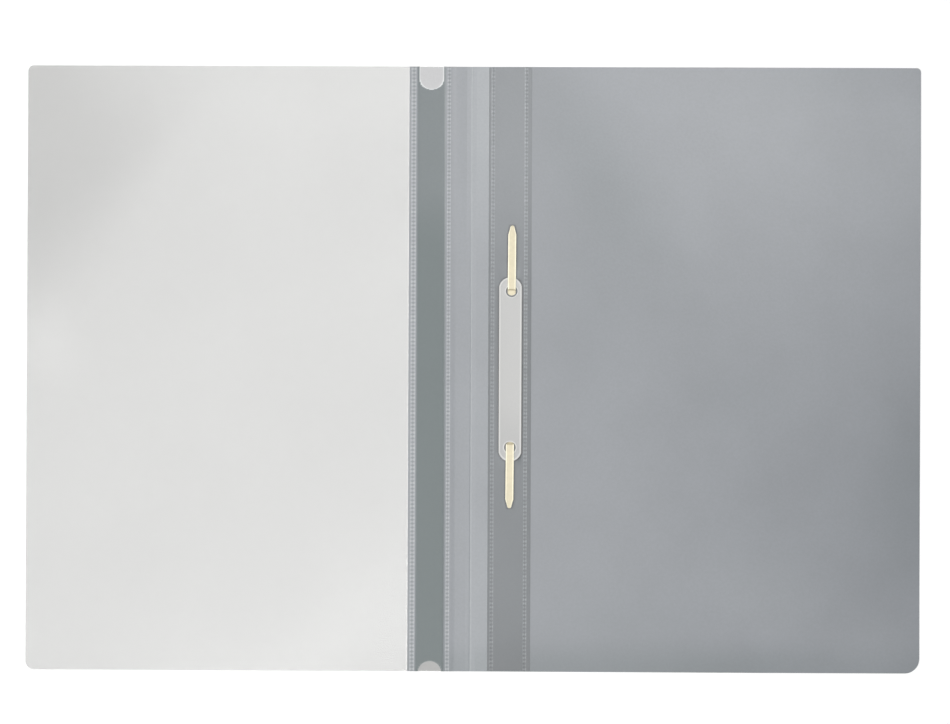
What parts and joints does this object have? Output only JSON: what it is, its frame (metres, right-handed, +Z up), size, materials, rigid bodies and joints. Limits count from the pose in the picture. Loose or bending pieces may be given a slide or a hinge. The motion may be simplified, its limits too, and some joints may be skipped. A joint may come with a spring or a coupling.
{
  "type": "fastener folder",
  "caption": "A4 report folder lying open: clear front cover, grey back cover, long label pocket, and a prong fastener under a hold-down bar for punched sheets.",
  "frame": {"origin": "middle of the open folder's outline, on the surface it lies on", "axes": "+X from the clear front cover to the grey back cover, +Y along the crease to the folder's head, +Z up out of the inside faces"},
  "size_m": [0.458, 0.31, 0.0026],
  "materials": {
    "clear_film": "gloss, clear, faintly milky",
    "grey_film": "satin, fine embossed grain",
    "strip_film": "satin",
    "label_paper": "uncoated",
    "coated_steel": "satin coat",
    "bar_plastic": "satin"
  },
  "bodies": {
    "back": {"back_cover": "grey_film", "spine_crease": "grey_film", "fastener_strip": "strip_film", "fastener_base": "coated_steel"},
    "front": {"front_cover": "clear_film", "label_strip": "grey_film"},
    "label": {"label_insert": "label_paper"},
    "top_prong": {"prong_top": "coated_steel"},
    "bottom_prong": {"prong_bottom": "coated_steel"},
    "bar": {"hold_down_bar": "bar_plastic"}
  },
  "joints": [
    {"name": "cover_fold", "type": "hinge", "parent": "back", "child": "front", "pos_m": [-0.001, 0, 0.00013], "axis": [0, 1, 0], "range_deg": [-173, 170], "deforming": ["spine_crease"]},
    {"name": "label_slide", "type": "slide", "parent": "front", "child": "label", "axis": [0, 1, 0], "range_m": [0, 0.312]},
    {"name": "prong_top_fold", "type": "hinge", "parent": "back", "child": "top_prong", "pos_m": [0.0194, 0.0407, 0.00222], "axis": [-1, 0, 0], "range_deg": [-90, 0]},
    {"name": "prong_bottom_fold", "type": "hinge", "parent": "back", "child": "bottom_prong", "pos_m": [0.0194, -0.0385, 0.00222], "axis": [1, 0, 0], "range_deg": [-90, 0]},
    {"name": "bar_shift", "type": "slide", "parent": "back", "child": "bar", "axis": [0, 1, 0], "range_m": [0, 0.0025]}
  ]
}
